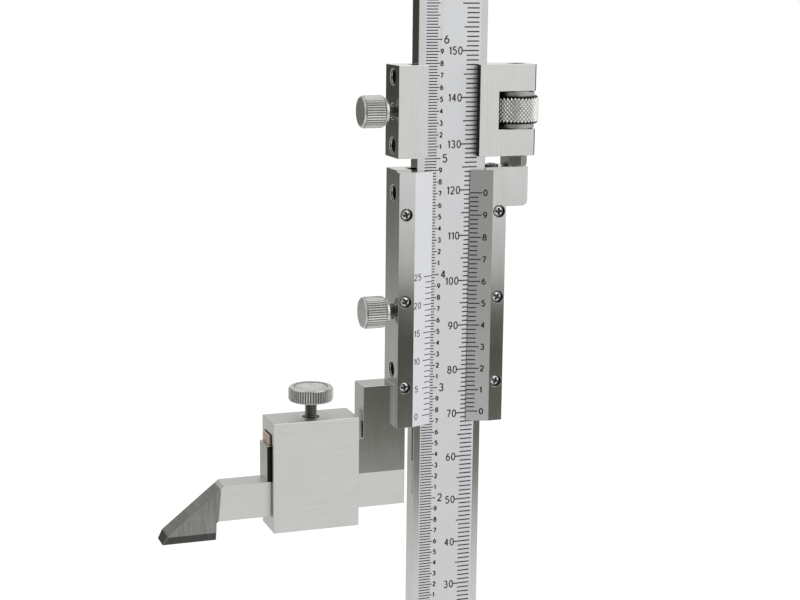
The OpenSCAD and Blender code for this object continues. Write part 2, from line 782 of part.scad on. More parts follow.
base();
beam();
beam_grub_screws();
beam_stop_screw();
fine_adjust_block();
block_gib();
block_gib_screws();
block_lock_screw();
fine_adjust_nut();
fine_adjust_screw();
screw_lock_nut();
slider_body();
slider_end_screw();
slider_gib();
slider_gib_screws();
slider_lock_screw();
inch_vernier_plate();
inch_plate_screws();
mm_vernier_plate();
mm_plate_screws();
scriber_clamp_box();
clamp_pad();
clamp_screw();
scriber_shank();
scriber_tip();
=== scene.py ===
from math import asin, cos, pi, radians, sin
import bmesh
import bpy
from mathutils import Matrix, Vector


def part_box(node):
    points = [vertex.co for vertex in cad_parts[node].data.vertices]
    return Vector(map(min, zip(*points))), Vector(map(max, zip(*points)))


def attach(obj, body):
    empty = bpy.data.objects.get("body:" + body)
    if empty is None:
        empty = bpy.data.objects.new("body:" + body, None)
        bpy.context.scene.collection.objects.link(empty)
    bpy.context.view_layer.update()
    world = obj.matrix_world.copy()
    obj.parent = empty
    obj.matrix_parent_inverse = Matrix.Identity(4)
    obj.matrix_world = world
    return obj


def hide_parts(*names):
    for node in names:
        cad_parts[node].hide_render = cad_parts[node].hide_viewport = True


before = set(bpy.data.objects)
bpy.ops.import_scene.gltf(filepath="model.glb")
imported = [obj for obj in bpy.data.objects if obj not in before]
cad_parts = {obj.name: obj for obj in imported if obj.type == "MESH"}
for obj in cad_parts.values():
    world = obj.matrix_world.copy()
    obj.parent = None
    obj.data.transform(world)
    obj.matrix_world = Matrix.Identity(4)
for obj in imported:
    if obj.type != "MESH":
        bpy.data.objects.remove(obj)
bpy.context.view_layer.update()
scene = bpy.context.scene
mm = 0.001
print("frame loaded with", len(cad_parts), "nodes")


def linked(thing):  # puts an object into the scene
    scene.collection.objects.link(thing)
    return thing


# Camera, solved from the graduations of the photographed scale
cameraLook = {
    "azimuth": -19.34, "elevation": 10.81, "roll": 0.48, "distance": 359.4 * mm,
    "aim": (-17.39 * mm, -2 * mm, 122.94 * mm), "clip": (0.01, 20),
    "focalPixels": 1665.88, "centreX": 374.44, "centreY": 291.51,
    "width": 800, "height": 600, "sensor": 36,
}


def addCamera(look):
    a, e, r = (radians(look[k]) for k in ("azimuth", "elevation", "roll"))
    back = Vector((sin(a) * cos(e), -cos(a) * cos(e), sin(e)))
    right = Vector((cos(a), sin(a), 0))
    up = back.cross(right)
    right, up = right * cos(r) + up * sin(r), up * cos(r) - right * sin(r)
    data = bpy.data.cameras.new("camera")
    data.sensor_width = look["sensor"]
    data.lens = look["focalPixels"] * look["sensor"] / look["width"]
    data.shift_x = (look["width"] / 2 - look["centreX"]) / look["width"]
    data.shift_y = (look["centreY"] - look["height"] / 2) / look["width"]
    data.clip_start, data.clip_end = look["clip"]
    camera = linked(bpy.data.objects.new("camera", data))
    place = Matrix.Translation(Vector(look["aim"]) + back * look["distance"])
    camera.matrix_world = place @ Matrix((right, up, back)).transposed().to_4x4()
    scene.camera = camera


addCamera(cameraLook)


# Node trees, written as Python expressions
class Wire:  # one output socket that takes part in arithmetic
    def __init__(self, graph, socket):
        self.graph, self.socket = graph, socket

    def calc(self, operation, *values):
        return self.graph.node("ShaderNodeMath", {"operation": operation}, dict(enumerate(values)))

    def __add__(self, other):
        return self.calc("ADD", self, other)

    def __radd__(self, other):
        return self.calc("ADD", other, self)

    def __sub__(self, other):
        return self.calc("SUBTRACT", self, other)

    def __rsub__(self, other):
        return self.calc("SUBTRACT", other, self)

    def __mul__(self, other):
        return self.calc("MULTIPLY", self, other)

    def __rmul__(self, other):
        return self.calc("MULTIPLY", other, self)

    def __truediv__(self, other):
        return self.calc("DIVIDE", self, other)

    def __abs__(self):
        return self.calc("ABSOLUTE", self)

    def __gt__(self, other):
        return self.calc("GREATER_THAN", self, other)

    def __lt__(self, other):
        return self.calc("LESS_THAN", self, other)

    def blend(self, other, share):  # this value where share is 0, the other where it is 1
        return self + (other - self) * share

    def step(self, low, high):  # 0 below low, 1 above high, smooth between them
        settings = {"interpolation_type": "SMOOTHSTEP"}
        return self.graph.node("ShaderNodeMapRange", settings, {"Value": self, 1: low, 2: high})


class Graph:  # a node tree and what adds to it
    def __init__(self, tree):
        self.tree = tree

    def node(self, kind, settings=None, values=None, out=0):
        made = self.tree.nodes.new(kind)
        for name, value in (settings or {}).items():
            if name == "stops":
                fillRamp(made.color_ramp, value)
            else:
                setattr(made, name, value)
        for key, value in (values or {}).items():
            if isinstance(value, Wire):
                self.tree.links.new(value.socket, made.inputs[key])
            else:
                made.inputs[key].default_value = value
        return Wire(self, made.outputs[out]) if len(made.outputs) else None

    def vector(self, x=0.0, y=0.0, z=0.0):
        return self.node("ShaderNodeCombineXYZ", None, {0: x, 1: y, 2: z})


def fillRamp(ramp, stops):
    ramp.elements.remove(ramp.elements[1])
    for place, level in stops:
        ramp.elements.new(place).color = (level, level, level, 1)
    ramp.elements.remove(ramp.elements[0])


# Metals
def grain(graph, along, width, length, detail=2.0):
    stretch = [1 / (length if axis in along else width) for axis in "XYZ"]
    place = graph.node("ShaderNodeTexCoord", out="Object")
    scaled = graph.node("ShaderNodeVectorMath", {"operation": "MULTIPLY"}, {0: place, 1: stretch})
    return graph.node("ShaderNodeTexNoise", None, {"Vector": scaled, "Scale": 1, "Detail": detail})


def axisOf(graph, vector, axis):
    return graph.node("ShaderNodeSeparateXYZ", None, {0: vector}, out=axis)


def objectAxis(graph, axis):
    return axisOf(graph, graph.node("ShaderNodeTexCoord", out="Object"), axis)


def normalAxis(graph, axis):  # how far a face looks along an axis, from -1 to 1
    return axisOf(graph, graph.node("ShaderNodeNewGeometry", out="Normal"), axis)


def isFront(graph):
    return normalAxis(graph, "Y") < -0.5


def dimmed(graph, colour, tone):
    return graph.node("ShaderNodeVectorMath", {"operation": "SCALE"}, {0: colour, "Scale": tone})


# What all finishes share: from where a face counts as a top, how much larger the broad marks are
# than the fine ones, and the shares of each in the tone, the dents and the roughness
marks = {
    "topFrom": 0.7, "broadWidth": 5, "broadLength": 2, "broadTone": 0.4, "broadDent": 0.6,
    "smudgeSize": 6 * mm, "fineRough": 0.6, "smudgeRough": 0.4,
}


def finish(graph, look):  # the colour, roughness and height of one finish
    top = abs(normalAxis(graph, "Z")) > marks["topFrom"]
    along, topAlong = look.get("along", ""), look.get("topAlong", "")
    width, length = look["grainWidth"] * mm, look.get("grainLength", look["grainWidth"]) * mm
    fine = grain(graph, along, width, length).blend(grain(graph, topAlong, width, length), top)
    width, length = width * marks["broadWidth"], length * marks["broadLength"]
    broad = grain(graph, along, width, length, 0).blend(
        grain(graph, topAlong, width, length, 0), top)
    smudge = grain(graph, "", marks["smudgeSize"], marks["smudgeSize"], 3)
    tone = 1 + (fine - 0.5) * look["contrast"]
    tone = tone + (broad - 0.5) * look["contrast"] * marks["broadTone"]
    tone = tone + (smudge - 0.5) * look["smudge"]
    # Painted shade: a look may give a share by which its tops are darkened
    if "paintedTopShade" in look:
        tone = tone * (1 - (1 - look["paintedTopShade"]) * top)
    low, high = look["roughness"]
    rough = low + (high - low) * (marks["fineRough"] * fine + marks["smudgeRough"] * smudge)
    height = (fine + broad * marks["broadDent"]) * look["dent"]
    return dimmed(graph, look["colour"], tone), rough, height


def graphOf(block):
    block.use_nodes = True
    block.node_tree.nodes.clear()
    return Graph(block.node_tree)


def newGraph(name):
    material = bpy.data.materials.new(name)
    return material, graphOf(material)


def surface(graph, colour, rough, height, metallic=1.0):
    bump = graph.node("ShaderNodeBump", None, {"Height": height, "Distance": 1.0, "Strength": 1.0})
    shader = graph.node("ShaderNodeBsdfPrincipled", None, {
        "Base Color": colour, "Roughness": rough, "Metallic": metallic, "Normal": bump})
    graph.node("ShaderNodeOutputMaterial", None, {"Surface": shader})


# A look is the colour, the range of roughness and the marks of the last machining: the axes that
# they run along on upright faces and on tops, if they have a direction, and their size in mm
looks = {
    "upright": {"colour": (0.69, 0.69, 0.68), "roughness": (0.07, 0.14), "along": "Z",
                "topAlong": "X", "grainWidth": 0.08, "grainLength": 6, "contrast": 0.2,
                "smudge": 0.12, "dent": 1.2e-6},
    # level metal has painted shade on its tops
    "level": {"colour": (0.81, 0.805, 0.795), "roughness": (0.36, 0.46), "along": "XY",
              "topAlong": "X", "grainWidth": 0.06, "grainLength": 7, "contrast": 0.16,
              "smudge": 0.08, "dent": 4e-6, "paintedTopShade": 0.85},
    "polished": {"colour": (0.67, 0.67, 0.66), "roughness": (0.06, 0.12), "along": "Z",
                 "topAlong": "X", "grainWidth": 0.09, "grainLength": 5, "contrast": 0.16,
                 "smudge": 0.12, "dent": 1e-6},
    "satin": {"colour": (0.84, 0.85, 0.87), "roughness": (0.4, 0.5), "grainWidth": 0.07,
              "contrast": 0.05, "smudge": 0.05, "dent": 2e-6},
    "bevel": {"colour": (0.82, 0.83, 0.86), "roughness": (0.2, 0.27), "grainWidth": 0.07,
              "contrast": 0.05, "smudge": 0.05, "dent": 2e-6},
    "groundDark": {"colour": (0.33, 0.325, 0.31), "roughness": (0.2, 0.34), "along": "Z",
                   "topAlong": "Y", "grainWidth": 0.14, "grainLength": 5, "contrast": 0.9,
                   "smudge": 0.3, "dent": 3e-6},
    "edge": {"colour": (0.8, 0.8, 0.79), "roughness": (0.2, 0.34), "along": "Z",
             "topAlong": "X", "grainWidth": 0.1, "grainLength": 3, "contrast": 0.15,
             "smudge": 0.15, "dent": 1e-6},
    # bore is painted shade for bores, counterbores and screw recesses
    "bore": {"colour": (0.16, 0.155, 0.145), "roughness": (0.3, 0.5), "grainWidth": 0.15,
             "contrast": 0.7, "smudge": 0.4, "dent": 5e-6},
    # gap is painted shade for faces deep in gaps, and a painted dark reflection on a chamfer
    "gap": {"colour": (0.03, 0.03, 0.028), "roughness": (0.4, 0.5), "grainWidth": 0.3,
            "contrast": 0.6, "smudge": 0.4, "dent": 3e-6},
    "black": {"colour": (0.27, 0.26, 0.24), "roughness": (0.16, 0.3), "grainWidth": 0.15,
              "contrast": 0.5, "smudge": 0.5, "dent": 3e-6},
    "darkThread": {"colour": (0.22, 0.21, 0.2), "roughness": (0.14, 0.26), "grainWidth": 0.2,
                   "contrast": 0.3, "smudge": 0.2, "dent": 2e-6},
    "copper": {"colour": (0.66, 0.47, 0.39), "roughness": (0.3, 0.45), "along": "XY",
               "topAlong": "X", "grainWidth": 0.12, "grainLength": 4, "contrast": 0.3,
               "smudge": 0.25, "dent": 3e-6},
}


def plainMetal(name):
    material, graph = newGraph(name)
    surface(graph, *finish(graph, looks[name]))
    return material


def mixedMetal(name, first, second, shareOf):
    # Two finishes on one piece, the second of them where shareOf gives 1
    material, graph = newGraph(name)
    colour, rough, height = finish(graph, looks[first])
    otherColour, otherRough, otherHeight = finish(graph, looks[second])
    share = shareOf(graph)
    mixed = graph.node("ShaderNodeMix", {"data_type": "RGBA"},
                       {0: share, 6: colour, 7: otherColour}, out=2)
    surface(graph, mixed, rough.blend(otherRough, share), height.blend(otherHeight, share))
    return material


def beamMetal(name, bandLeft, bandRight):  # a satin band between two polished edges
    def inBand(graph):
        x = objectAxis(graph, "X")
        return (x > bandLeft) * (x < bandRight) * isFront(graph)
    return mixedMetal(name, "polished", "satin", inBand)


def plateMetal(name, bevelFrom, bevelTo):  # a polished flat and a satin bevel
    def onBevel(graph):
        sideways = abs(normalAxis(graph, "X"))
        return (sideways > bevelFrom) * (sideways < bevelTo)
    return mixedMetal(name, "polished", "bevel", onBevel)


def sliderMetal(name, jawEnd):  # the jaw's bar is dark in the shade of the clamp
    def inShade(graph):
        return (objectAxis(graph, "X") < jawEnd) * isFront(graph)
    return mixedMetal(name, "upright", "gap", inShade)


def tipMetal(name, bandTop, bandEnd, shade):
    # Ground steel, with painted shade in the band above its lower edge, where its bevel tilts down
    material, graph = newGraph(name)
    colour, rough, height = finish(graph, looks["groundDark"])
    band = (objectAxis(graph, "Z") < bandTop) * (objectAxis(graph, "X") < bandEnd) * isFront(graph)
    surface(graph, dimmed(graph, colour, 1 - shade * band), rough, height)
    return material


# Turned pieces: the lathe's rings per millimetre, and what the rings and the dirt change
turning = {
    "rings": 14, "ringTone": 0.35, "ringDent": 3e-6, "smudgeSize": 0.8 * mm, "smudgeTone": 0.45,
    "smudgeDent": 2e-6, "roughness": 0.2, "smudgeRough": 0.16, "valleyRough": 0.14,
}


def turnedMetal(name, colour, valleyShade, unshadedFrom):
    # The crest value rises from a valley with painted shade, at the darkest tone, to a ridge
    # without it
    t = turning
    material, graph = newGraph(name)
    radius, along, crest = (
        graph.node("ShaderNodeAttribute", {"attribute_name": label}, out="Fac")
        for label in ("radius", "along", "crest"))
    place = graph.vector(radius * t["rings"], along * t["rings"])
    rings = graph.node("ShaderNodeTexNoise", None, {"Vector": place, "Scale": 1, "Detail": 2})
    smudge = grain(graph, "", t["smudgeSize"], t["smudgeSize"], 3)
    tone = valleyShade + (1 - valleyShade) * crest.step(0.05, unshadedFrom)
    tone = tone * (1 + (rings - 0.5) * t["ringTone"] + (smudge - 0.5) * t["smudgeTone"])
    rough = t["roughness"] + t["smudgeRough"] * smudge + t["valleyRough"] * (1 - crest)
    height = rings * t["ringDent"] + smudge * t["smudgeDent"]
    surface(graph, dimmed(graph, colour, tone), rough, height)
    return material


def inkPaint(name, level):  # matt filler in the engraved lines and figures
    material, graph = newGraph(name)
    patchy = grain(graph, "", 0.25 * mm, 0.25 * mm, 2)
    colour = dimmed(graph, (level, level, level * 1.1), 0.7 + 0.6 * patchy)
    surface(graph, colour, 0.4 + 0.2 * patchy, patchy * 2e-6, metallic=0.0)
    return material


metal = {name: plainMetal(name) for name in (
    "upright", "level", "edge", "bore", "gap", "black", "darkThread", "copper")}
metal["beam"] = beamMetal("scaleSteel", bandLeft=-6.4 * mm, bandRight=6.32 * mm)
metal["plate"] = plateMetal("vernierSteel", bevelFrom=0.15, bevelTo=0.6)
metal["knurl"] = turnedMetal("knurledSteel", (0.72, 0.72, 0.71), valleyShade=0.16, unshadedFrom=0.9)
metal["nut"] = turnedMetal("nutSteel", (0.95, 0.94, 0.91), valleyShade=0.02, unshadedFrom=0.4)
metal["screw"] = turnedMetal("screwSteel", (0.82, 0.82, 0.81), valleyShade=0.12, unshadedFrom=0.9)
metal["slider"] = sliderMetal("sliderSteel", jawEnd=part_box("scriber_clamp_box")[0].x + 1 * mm)
tipLow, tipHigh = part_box("scriber_tip")
metal["tip"] = tipMetal("tipSteel", bandTop=tipLow.z + 1.7 * mm, bandEnd=tipHigh.x - 0.8 * mm,
                        shade=0.72)
metal["ink"] = inkPaint("ink", level=0.012)
metal["fadedInk"] = inkPaint("fadedInk", level=0.04)
print("materials made:", len(metal))


# Mesh helpers. Sizes in the dictionaries of the pieces are millimetres.
def addPiece(name, mesh, body, slot, *nodes):
    piece = linked(bpy.data.objects.new(name, mesh))
    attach(piece, body)
    if nodes:
        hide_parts(*nodes)


def shadeByAngle(mesh, sharpAngle=32):
    mesh.shade_smooth()
    mesh.set_sharp_from_angle(angle=radians(sharpAngle))


def toMesh(form, name, material, sharpAngle=32):
    bmesh.ops.recalc_face_normals(form, faces=form.faces)
    mesh = bpy.data.meshes.new(name)
    form.to_mesh(mesh)
    form.free()
    mesh.materials.append(material)
    shadeByAngle(mesh, sharpAngle)
    return mesh


def evaluated(holder):  # the object's mesh with its modifiers, as plain data
    bpy.context.view_layer.update()
    view = bpy.context.evaluated_depsgraph_get()
    mesh = bpy.data.meshes.new_from_object(holder.evaluated_get(view), depsgraph=view)
    bpy.data.objects.remove(holder)
    return mesh


def joined(name, meshes):
    form = bmesh.new()
    materials = []
    for mesh in meshes:
        count = len(form.faces)
        form.from_mesh(mesh)
        form.faces.ensure_lookup_table()
        for face in form.faces[count:]:
            material = mesh.materials[face.material_index]
            if material not in materials:
                materials.append(material)
            face.material_index = materials.index(material)
    whole = bpy.data.meshes.new(name)
    form.to_mesh(whole)
    form.free()
    for material in materials:
        whole.materials.append(material)
    return whole


def markAxis(mesh, crestOf):
    # Notes how far each point lies from the Z axis, along it, and its crest value, which darkens
    # the metal where it is below 1
    values = {"radius": [], "along": [], "crest": []}
    for vertex in mesh.vertices:
        far = vertex.co.xy.length / mm
        values["radius"].append(far)
        values["along"].append(vertex.co.z / mm)
        values["crest"].append(crestOf(far))
    for name, numbers in values.items():
        mesh.attributes.new(name, "FLOAT", "POINT").data.foreach_set("value", numbers)


tolerance = 0.01  # mm, within which a point counts as lying on a radius


def dirtAt(*rings):  # a crest of 1, but lower on rings (radius, crest) with painted shade
    return lambda far: min((crest for ring, crest in rings if abs(far - ring) < tolerance),
                           default=1)


# a crest that rises from the core to the ridge's top: painted shade down in the grooves
def ridgeFrom(core, outer):
    return lambda far: min(1, max(0, (far - core) / (outer - core)))


def lathe(profile, steps=72):  # profile holds (along, radius) in millimetres
    form = bmesh.new()
    rings = []
    for along, radius in profile:
        turns = [2 * pi * i / steps for i in range(steps if radius else 1)]
        far = radius * mm
        rings.append([form.verts.new((far * cos(turn), far * sin(turn), along * mm))
                      for turn in turns])
    for low, high in zip(rings, rings[1:]):
        for i in range(steps):
            j = (i + 1) % steps
            around = ((low, i), (low, j), (high, j), (high, i))
            corners = [ring[k % len(ring)] for ring, k in around]
            form.faces.new(list(dict.fromkeys(corners)))
    return form


# How the machined blocks are shaded and their corners broken. Angles are degrees.
machining = {
    "weldWithin": 0.5e-6, "flatWithin": 1, "roundFrom": 1.5, "sharpFrom": 30, "brokenFrom": 35,
    "facetWidth": 1.2 * mm, "boreShare": 0.8, "cornerFacing": 0.6, "planeReach": 0.02 * mm,
}
ownMetal, edgeMetal, boreShadeMetal, paintedDarkMetal = range(4)  # places in a block's list of materials


def markRounds(form):
    # Narrow faces in a smooth round are shaded as one. A round that turns all ways is a bore and
    # gets painted shade.
    m = machining
    for face in form.faces:
        face.smooth = False
    for edge in form.edges:
        edge.smooth = edge.calc_face_angle(0) < radians(m["sharpFrom"])
    done = set()
    for seed in form.faces:
        if seed in done:
            continue
        done.add(seed)
        island, reach = [seed], [seed]
        while reach:
            for edge in reach.pop().edges:
                if radians(m["roundFrom"]) < edge.calc_face_angle(0) < radians(m["sharpFrom"]):
                    new = [face for face in edge.link_faces if face not in done]
                    done.update(new)
                    island += new
                    reach += new
        area = sum(face.calc_area() for face in island)
        net = sum((face.normal * face.calc_area() for face in island), Vector()).length
        for face in island:
            face.material_index = boreShadeMetal if net < m["boreShare"] * area else ownMetal
            width = face.calc_area() / max(edge.calc_length() for edge in face.edges)
            face.smooth = len(island) > 1 and width < m["facetWidth"]


def markDark(form, node):  # corners with a painted dark reflection and planes with painted shade on this node
    m = machining
    for face in form.faces:
        if node in paintedDarkCorners and min(face.normal.x, -face.normal.y) > m["cornerFacing"]:
            face.material_index = paintedDarkMetal
        for axis, place in shadedPlanes.get(node, ()):
            if all(abs(v.co[axis] - place) < m["planeReach"] for v in face.verts):
                face.material_index = paintedDarkMetal


def addMachined(node, body, slot, look, edge):
    # A copy of the node with its corners broken, as a real edge is, and with painted shade in its
    # bores
    m, name = machining, node + "_finished"
    form = bmesh.new()
    form.from_mesh(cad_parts[node].data)
    bmesh.ops.remove_doubles(form, verts=form.verts, dist=m["weldWithin"])
    bmesh.ops.dissolve_limit(form, angle_limit=radians(m["flatWithin"]), verts=form.verts,
                             edges=form.edges)
    markRounds(form)
    markDark(form, node)
    bmesh.ops.triangulate(form, faces=form.faces, quad_method="BEAUTY", ngon_method="BEAUTY")
    mesh = bpy.data.meshes.new(name)
    form.to_mesh(mesh)
    form.free()
    mesh.attributes.remove(mesh.attributes["custom_normal"])
    for kind in (look, "edge", "bore", "gap"):
        mesh.materials.append(metal[kind])
    holder = linked(bpy.data.objects.new(name, mesh))
    bevel = holder.modifiers.new("edges", "BEVEL")
    bevel.width = edge * mm
    bevel.limit_method = "ANGLE"
    bevel.angle_limit = radians(m["brokenFrom"])
    bevel.use_clamp_overlap = False
    bevel.material = edgeMetal
    addPiece(name, evaluated(holder), body, slot, node)


# Geometry Nodes. Each tree has named inputs and ends in Realize Instances and Set Material.
def newTree(name, inputs):
    tree = bpy.data.node_groups.new(name, "GeometryNodeTree")
    for label, kind in inputs.items():
        tree.interface.new_socket(label, in_out="INPUT", socket_type="NodeSocket" + kind)
    tree.interface.new_socket("Geometry", in_out="OUTPUT", socket_type="NodeSocketGeometry")
    graph = Graph(tree)
    group = tree.nodes.new("NodeGroupInput")
    return graph, {label: Wire(graph, group.outputs[label]) for label in inputs}


def endTree(graph, geometry, material, kept=None):
    # Faces whose material is the kept one stay as they are
    real = graph.node("GeometryNodeRealizeInstances", None, {0: geometry})
    chosen = 1 - graph.node("GeometryNodeMaterialSelection", None, {0: kept}) if kept else True
    painted = graph.node("GeometryNodeSetMaterial", None, {
        "Geometry": real, "Selection": chosen, "Material": material})
    graph.node("NodeGroupOutput", None, {"Geometry": painted})
    return graph.tree


def grow(tree, values, name):
    holder = linked(bpy.data.objects.new(name, bpy.data.meshes.new(name)))
    modifier = holder.modifiers.new("build", "NODES")
    modifier.node_group = tree
    for item in tree.interface.items_tree:
        if item.in_out == "INPUT":
            modifier[item.identifier] = values[item.name]
    return evaluated(holder)


def stamp(name, corners, faces):  # a small mesh for a tree to repeat or a modifier to cut with
    mesh = bpy.data.meshes.new(name)
    mesh.from_pydata(corners, [], faces)
    form = bmesh.new()
    form.from_mesh(mesh)
    bmesh.ops.recalc_face_normals(form, faces=form.faces)
    form.to_mesh(mesh)
    form.free()
    return bpy.data.objects.new(name, mesh)


def knurlTree():  # stamps in rows round the Z axis
    graph, given = newTree("knurl", {
        "Stamp": "Object", "Radius": "Float", "Around": "Int", "Rows": "Int",
        "Row Pitch": "Float", "Stagger": "Float", "Stamp Size": "Vector", "Material": "Material"})
    points = graph.node("GeometryNodeMeshLine", None, {
        "Count": given["Around"] * given["Rows"], "Offset": (0, 0, 0)})
    index = graph.node("GeometryNodeInputIndex")
    row = index.calc("FLOOR", index / given["Around"])
    shift = row.calc("MODULO", row, 2) * given["Stagger"]
    turn = (index.calc("MODULO", index, given["Around"]) + shift) / given["Around"] * (2 * pi)
    place = graph.vector(turn.calc("COSINE", turn) * given["Radius"],
                         turn.calc("SINE", turn) * given["Radius"], row * given["Row Pitch"])
    points = graph.node("GeometryNodeSetPosition", None, {"Geometry": points, "Position": place})
    shape = graph.node("GeometryNodeObjectInfo", None, {"Object": given["Stamp"]}, out="Geometry")
    stamps = graph.node("GeometryNodeInstanceOnPoints", None, {
        "Points": points, "Instance": shape, "Rotation": graph.vector(z=turn),
        "Scale": given["Stamp Size"]})
    return endTree(graph, stamps, given["Material"])


def threadTree(sides=28, ringsPerTurn=8):  # a rod along Z whose surface winds as a thread
    graph, given = newTree("thread", {
        "Radius": "Float", "Length": "Float", "Pitch": "Float", "Depth": "Float",
        "Material": "Material"})
    rod = graph.node("GeometryNodeMeshCylinder", None, {
        "Vertices": sides, "Side Segments": given["Length"] / given["Pitch"] * ringsPerTurn,
        "Radius": given["Radius"], "Depth": given["Length"]})
    where = graph.node("GeometryNodeInputPosition")
    x, y, z = (axisOf(graph, where, axis) for axis in "XYZ")
    turns = z / given["Pitch"] - y.calc("ARCTAN2", y, x) / (2 * pi)
    wave = turns.calc("PINGPONG", turns, 0.5) * 2
    cutIn = wave.calc("MULTIPLY", wave.step(0.15, 0.95), given["Depth"]) / given["Radius"]
    place = graph.vector(x * (1 - cutIn), y * (1 - cutIn), z)
    moved = graph.node("GeometryNodeSetPosition", None, {"Geometry": rod, "Position": place})
    return endTree(graph, moved, given["Material"])


def tickTree():  # graduations up the Z axis, all from one edge
    graph, given = newTree("ticks", {
        "Start": "Vector", "Count": "Int", "Pitch": "Float", "Side": "Float", "Turn": "Float",
        "Short": "Float", "Middle": "Float", "Long": "Float", "Middle Every": "Int",
        "Long Every": "Int", "Line": "Float", "Depth": "Float", "Material": "Material"})
    points = graph.node("GeometryNodeMeshLine", None, {
        "Count": given["Count"], "Start Location": given["Start"],
        "Offset": graph.vector(z=given["Pitch"])})
    index = graph.node("GeometryNodeInputIndex") + 0.25  # so that rounding skips no line
    isMiddle = index.calc("MODULO", index, given["Middle Every"]) < 0.5
    isLong = index.calc("MODULO", index, given["Long Every"]) < 0.5
    length = given["Short"].blend(given["Middle"], isMiddle).blend(given["Long"], isLong)
    reach = length / 2 * given["Side"]
    turn = given["Turn"]
    shift = graph.vector(reach * turn.calc("COSINE", turn), reach * turn.calc("SINE", turn))
    points = graph.node("GeometryNodeSetPosition", None, {"Geometry": points, "Offset": shift})
    line = graph.node("GeometryNodeMeshCube", None, {"Size": (1, 1, 1)})
    lines = graph.node("GeometryNodeInstanceOnPoints", None, {
        "Points": points, "Instance": line, "Rotation": graph.vector(z=turn),
        "Scale": graph.vector(length, given["Depth"], given["Line"])})
    return endTree(graph, lines, given["Material"])


def screwTree():  # screws in a row up the Z axis, each turned by chance
    graph, given = newTree("screws", {
        "Screw": "Object", "Start": "Vector", "Count": "Int", "Pitch": "Float",
        "Seed": "Int", "Recess Material": "Material", "Material": "Material"})
    points = graph.node("GeometryNodeMeshLine", None, {
        "Count": given["Count"], "Start Location": given["Start"],
        "Offset": graph.vector(z=given["Pitch"])})
    chance = graph.node("FunctionNodeRandomValue", {"data_type": "FLOAT"},
                        {2: 0, 3: pi / 2, "Seed": given["Seed"]}, out=1)
    shape = graph.node("GeometryNodeObjectInfo", None, {"Object": given["Screw"]}, out="Geometry")
    screws = graph.node("GeometryNodeInstanceOnPoints", None, {
        "Points": points, "Instance": shape, "Rotation": graph.vector(y=chance)})
    return endTree(graph, screws, given["Material"], given["Recess Material"])


trees = {"knurl": knurlTree(), "thread": threadTree(), "ticks": tickTree(), "screws": screwTree()}
# One ridge and one diamond of a knurl. They are 1 long and 1 wide, with their tops at x = 0.
ridgeStamp = stamp("ridge", [
    (-1, -0.5, 0), (-1, 0.5, 0), (0, 0, 0.06), (-1, -0.5, 1), (-1, 0.5, 1), (0, 0, 0.94)],
    [(0, 1, 2), (3, 5, 4), (0, 2, 5, 3), (1, 4, 5, 2), (0, 3, 4, 1)])
diamondStamp = stamp("diamond", [
    (-1, -0.5, 0), (-1, 0, -0.5), (-1, 0.5, 0), (-1, 0, 0.5),
    (0, -0.18, 0), (0, 0, -0.18), (0, 0.18, 0), (0, 0, 0.18)],
    [(0, 1, 5, 4), (1, 2, 6, 5), (2, 3, 7, 6), (3, 0, 4, 7), (4, 5, 6, 7), (0, 3, 2, 1)])
print("trees made:", ", ".join(trees))


def centreOf(node):
    low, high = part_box(node)
    return (low + high) / 2


def rod(name, radius, low, high, pitch, material):
    # A threaded rod along Z from one height to another, in millimetres
    mesh = grow(trees["thread"], {
        "Radius": radius * mm, "Length": (high - low) * mm, "Pitch": pitch * mm,
        "Depth": pitch * 0.5 * mm, "Material": material}, name)
    mesh.transform(Matrix.Translation((0, 0, (low + high) / 2 * mm)))
    shadeByAngle(mesh)
    return mesh


# Machined blocks: body, slot, look and the width of the broken edges
edges = {
    "base": ("stand", "ground_steel", "level", 0.15),
    "beam": ("stand", "satin_chrome", "beam", 0.08),
    "fine_adjust_block": ("fine_block", "brushed_steel", "upright", 0.06),
    "slider_body": ("slider", "brushed_steel", "slider", 0.06),
    "inch_vernier_plate": ("slider", "satin_chrome", "plate", 0.04),
    "mm_vernier_plate": ("slider", "satin_chrome", "plate", 0.04),
    "scriber_clamp_box": ("clamp", "brushed_steel", "level", 0.12),
    "clamp_pad": ("clamp", "bronze", "copper", 0.08),
    "scriber_shank": ("scriber", "brushed_steel", "level", 0.08),
    "scriber_tip": ("scriber", "dark_steel", "tip", 0.1),
    "screw_lock_nut": ("slider", "black_steel", "black", 0.03),
}
# Faces deep in a gap, with painted shade: the axis that they look along and their place on it
nutLow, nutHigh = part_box("fine_adjust_nut")
shadedPlanes = {
    "fine_adjust_block": [  # the right lip's inner side and two of the nut's slot
        (0, 5.65 * mm), (0, nutLow.x - 0.2 * mm), (2, nutHigh.z + 0.05 * mm)],
    "scriber_clamp_box": [(1, -2.3 * mm), (1, 4.05 * mm)],  # front and back of its opening
}
paintedDarkCorners = {"fine_adjust_block"}  # nodes whose front right chamfer has a painted dark reflection
for node, (body, slot, look, edge) in edges.items():
    addMachined(node, body, slot, look, edge)
plainLooks = {  # pieces whose solids stay as they are
    "beam_grub_screws": "black", "block_gib": "copper", "block_gib_screws": "black",
    "slider_gib": "copper", "slider_gib_screws": "black", "fine_adjust_screw": "darkThread",
}
for node, look in plainLooks.items():
    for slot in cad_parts[node].material_slots:
        slot.material = metal[look]
print("blocks finished:", len(edges))


# Knurled heads. A rim's points are how far they lie in from the head's end and below its radius.
def rimOf(s, rim):
    points = [*s[rim], (s["rimWidth"], s["ridgeDepth"])]
    return [(inset, s["headRadius"] - drop) for inset, drop in points]


def fromEnd(rim, end):  # the same rim at the other end of the head
    return [(end - inset, radius) for inset, radius in reversed(rim)]


